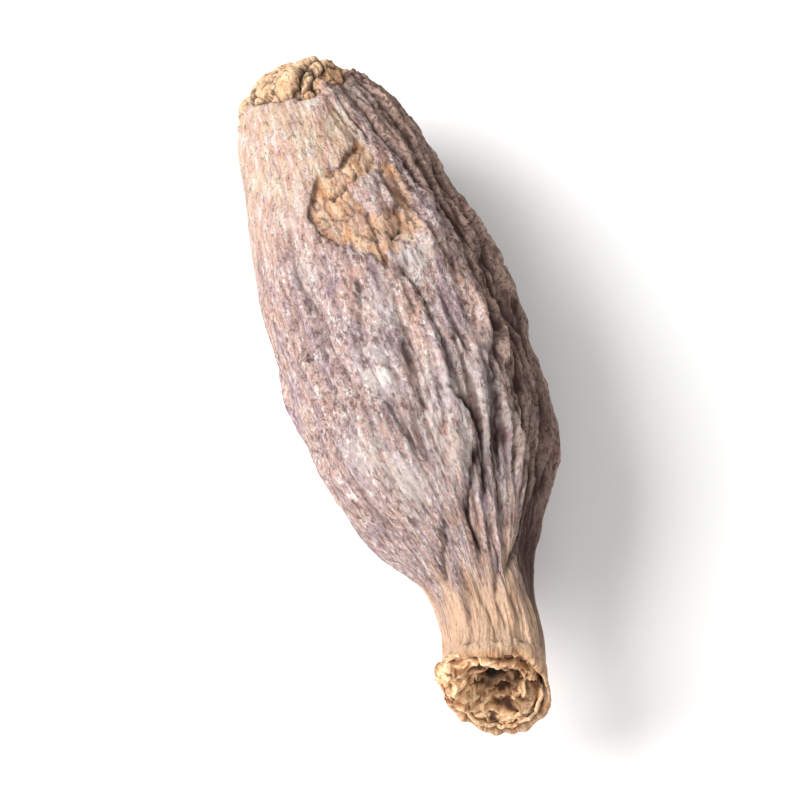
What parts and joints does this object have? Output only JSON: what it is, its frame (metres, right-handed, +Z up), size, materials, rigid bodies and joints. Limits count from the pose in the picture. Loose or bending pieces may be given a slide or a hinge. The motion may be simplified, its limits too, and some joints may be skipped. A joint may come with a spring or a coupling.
{
  "type": "alligator pepper pod",
  "caption": "Dried alligator pepper pod lying on its belly: a wrinkled brown husk with a torn stalk scar, a fluted neck and an open mouth that holds the withered flower.",
  "frame": {"origin": "middle of the flat spot that the pod rests on, under its centre of mass", "axes": "+Z up from the surface that the pod lies on, +X along the pod from the stalk scar to the neck's mouth"},
  "size_m": [0.0746, 0.0248, 0.0222],
  "materials": {
    "husk": "dry matt wrinkled skin, mottled grey-brown and pinkish with pale bloom, tan at both torn ends",
    "withered_flower": "dry papery straw brown"
  },
  "bodies": {
    "root": {"husk": "husk", "withered_flower": "withered_flower"}
  },
  "joints": []
}
